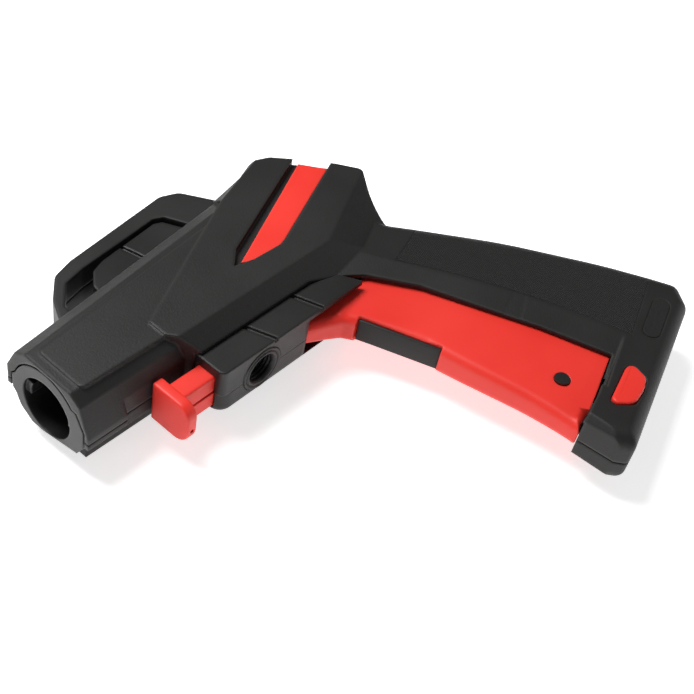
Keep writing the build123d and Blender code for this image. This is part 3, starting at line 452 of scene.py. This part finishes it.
# Selector knob.
# A red T-shaped slider: a flat rod in the boss and an upright finger plate with a small eye in its end.
bm = bmesh.new()
plate_corners = [(20.2, -9.0, 0.8), (20.2, 9.0, 0.8), (38.3, 9.0, 5.5), (38.3, -9.0, 6.5)]
plate_faces = flat_outline(bm, plate_corners)
raised(bm, plate_faces, 4.6)
rims = [e for e in bm.edges if abs(e.verts[0].co.z - e.verts[1].co.z) < 0.01]
bmesh.ops.bevel(
    bm, geom=rims, offset=0.9, offset_type="OFFSET", segments=5, profile=0.5, affect="EDGES", material=-1,
)
upright = Matrix(((0, 0, 1, -33.4), (1, 0, 0, 0), (0, 1, 0, 0), (0, 0, 0, 1)))
bmesh.ops.transform(bm, matrix=upright, verts=bm.verts)
plate = finished(bm, "selector_plate", signal_red, "selector")
eye = bmesh.new()
bmesh.ops.create_cone(eye, cap_ends=True, segments=24, radius1=0.9, radius2=0.9, depth=6)
bmesh.ops.rotate(eye, cent=(0, 0, 0), matrix=Matrix.Rotation(math.radians(90), 3, "X"), verts=eye.verts)
bmesh.ops.translate(eye, vec=(-31.1, 38.4, -2.0), verts=eye.verts)
carved(plate, [eye])
bm = bmesh.new()
bmesh.ops.create_cube(bm, size=1)
bmesh.ops.scale(bm, vec=(18.2, 8.0, 15.6), verts=bm.verts)
bmesh.ops.translate(bm, vec=(-41.4, 27.4, 0), verts=bm.verts)
for level in (0.7, -0.7):
    whole = bm.verts[:] + bm.edges[:] + bm.faces[:]
    bmesh.ops.bisect_plane(bm, geom=whole, plane_co=(0, 0, level), plane_no=(0, 0, 1))
corners = [
    e for e in bm.edges
    if abs(e.verts[0].co.x - e.verts[1].co.x) > 5 and all(abs(v.co.z) > 5 for v in e.verts)
]
bmesh.ops.bevel(
    bm, geom=corners, offset=0.8, offset_type="OFFSET", segments=4, profile=0.5, affect="EDGES", material=-1,
)
bm.faces.ensure_lookup_table()
bm.normal_update()
strip_faces = [f for f in bm.faces if f.normal.y > 0.9 and abs(f.calc_center_median().z) < 0.6]
sunk = bmesh.ops.extrude_face_region(bm, geom=strip_faces)
sunk_points = [v for v in sunk["geom"] if isinstance(v, bmesh.types.BMVert)]
bmesh.ops.translate(bm, vec=(0, -0.8, 0), verts=sunk_points)
bmesh.ops.delete(bm, geom=strip_faces, context="FACES_ONLY")
rod = finished(bm, "selector_rod", signal_red, "selector")
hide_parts("selector_knob")
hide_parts("selector_knob")

# Port sleeve.
# A turned nylon sleeve pressed into the boss; its flange is a rounded double ring and its bore is
# threaded for a plug.
bm = bmesh.new()
sleeve = [
    (9.35, 33.95), (9.35, 35.3), (9.1, 35.75), (8.6, 35.85), (8.15, 35.6), (8.0, 35.0), (7.7, 35.0), (7.55, 35.6),
    (7.2, 35.88), (6.8, 35.85), (6.5, 35.5),
]
depth = 34.6
while depth > 26.4:
    sleeve += [(5.75, depth), (5.75, depth - 0.35), (6.35, depth - 0.75), (6.35, depth - 1.0)]
    depth -= 1.4
sleeve += [(5.75, 25.15), (7.45, 25.15), (7.45, 33.95)]
rim_points = [bm.verts.new((radius, height, 0)) for radius, height in sleeve]
rim_lines = [bm.edges.new((a, b)) for a, b in zip(rim_points, rim_points[1:] + rim_points[:1])]
bmesh.ops.spin(
    bm, geom=rim_points + rim_lines, cent=(0, 0, 0), axis=(0, 1, 0), angle=math.radians(360), steps=64,
    use_merge=True,
)
bmesh.ops.translate(bm, vec=(-68.0, 0, 1.0), verts=bm.verts)
port_sleeve = finished(bm, "port_sleeve", smooth_nylon, "frame")
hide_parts("port_bushing")

# Lock button.
# A red slider let into the butt; its six-sided head stands a little proud, with a softly rounded rim.
bm = bmesh.new()
button_head = [
    (-143.3, 137.5, 1.0), (-143.5, 134.7, 1.5), (-161.7, 129.9, 1.5), (-164.7, 131.5, 2.0), (-162.7, 138.3, 1.5),
    (-157.0, 140.8, 2.0), (-148.4, 142.1, 3.0),
]
head_top = raised(bm, flat_outline(bm, button_head), 5.1)
rim = [e for e in bm.edges if all(v in head_top for v in e.verts)]
bmesh.ops.bevel(
    bm, geom=rim, offset=0.8, offset_type="OFFSET", segments=6, profile=0.5, affect="EDGES", material=-1,
)
bmesh.ops.translate(bm, vec=(0, 0, 9.0), verts=bm.verts)
button = finished(bm, "button", signal_red, "button")
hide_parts("lock_button")

# Tubes, hose and seals.
# Black polyamide and rubber parts inside the covers, assembled before the covers are screwed shut.
tube_nylon = moulded(
    "tube_nylon", dark=(0.010, 0.010, 0.010), light=(0.015, 0.015, 0.015), edge_highlight_colour=(0.03, 0.03, 0.03),
    roughness=0.5, grain=900.0, depth=0.0001, radius=0.0005,
)
seal_rubber = moulded(
    "seal_rubber", dark=(0.006, 0.006, 0.006), light=(0.010, 0.010, 0.010), edge_highlight_colour=(0.016, 0.016, 0.016),
    roughness=0.65, grain=800.0, depth=0.0001, radius=0.0003,
)
dress(tube_nylon, "outlet_tube", "inlet_tube")
dress(
    seal_rubber, "collar_seal", "stem_seal", "inlet_gasket", "port_gasket", "valve_poppet", "spool_seals"
)

# Brass and steel fittings.
# The valve, its cap and seat, the feed and the hose fitting are turned brass; the pin, bracket, stem,
# spool, springs and cover screws are steel. Turning marks run round them as fine streaks.


def turned_metal(name, dark, light, roughness):
    """A machined metal with fine streaks and stains."""
    finish = bpy.data.materials.new(name)
    finish.use_nodes = True
    tree = finish.node_tree
    shader = tree.nodes["Principled BSDF"]
    shader.inputs["Metallic"].default_value = 1.0
    place = tree.nodes.new("ShaderNodeTexCoord")
    marks = tree.nodes.new("ShaderNodeTexNoise")
    marks.inputs["Scale"].default_value = 900.0
    marks.inputs["Detail"].default_value = 4.0
    stain = tree.nodes.new("ShaderNodeTexNoise")
    stain.inputs["Scale"].default_value = 90.0
    tone = tree.nodes.new("ShaderNodeMix")
    tone.data_type = "RGBA"
    tone.inputs["A"].default_value = (*dark, 1)
    tone.inputs["B"].default_value = (*light, 1)
    gloss = tree.nodes.new("ShaderNodeMapRange")
    gloss.inputs["To Min"].default_value = roughness - 0.1
    gloss.inputs["To Max"].default_value = roughness + 0.12
    bump = tree.nodes.new("ShaderNodeBump")
    bump.inputs["Strength"].default_value = 0.3
    bump.inputs["Distance"].default_value = 0.00005
    tree.links.new(place.outputs["Object"], marks.inputs["Vector"])
    tree.links.new(place.outputs["Object"], stain.inputs["Vector"])
    tree.links.new(stain.outputs["Fac"], tone.inputs["Factor"])
    tree.links.new(tone.outputs["Result"], shader.inputs["Base Color"])
    tree.links.new(marks.outputs["Fac"], gloss.inputs["Value"])
    tree.links.new(gloss.outputs["Result"], shader.inputs["Roughness"])
    tree.links.new(marks.outputs["Fac"], bump.inputs["Height"])
    tree.links.new(bump.outputs["Normal"], shader.inputs["Normal"])
    return finish


brass = turned_metal("turned_brass", (0.62, 0.42, 0.18), (0.80, 0.58, 0.28), 0.35)
steel = turned_metal("turned_steel", (0.46, 0.46, 0.46), (0.60, 0.60, 0.59), 0.32)
dark_steel = turned_metal("blackened_steel", (0.060, 0.060, 0.060), (0.11, 0.11, 0.105), 0.4)
dress(brass, "valve_body", "valve_seat", "valve_cap", "port_feed", "inlet_fitting")
dress(steel, "valve_stem", "valve_spring", "button_spring", "selector_spool", "pivot_bracket")
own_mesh(nodes["valve_spring"])
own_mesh(nodes["button_spring"])
dress(dark_steel, "pivot_pin", "cover_screws")
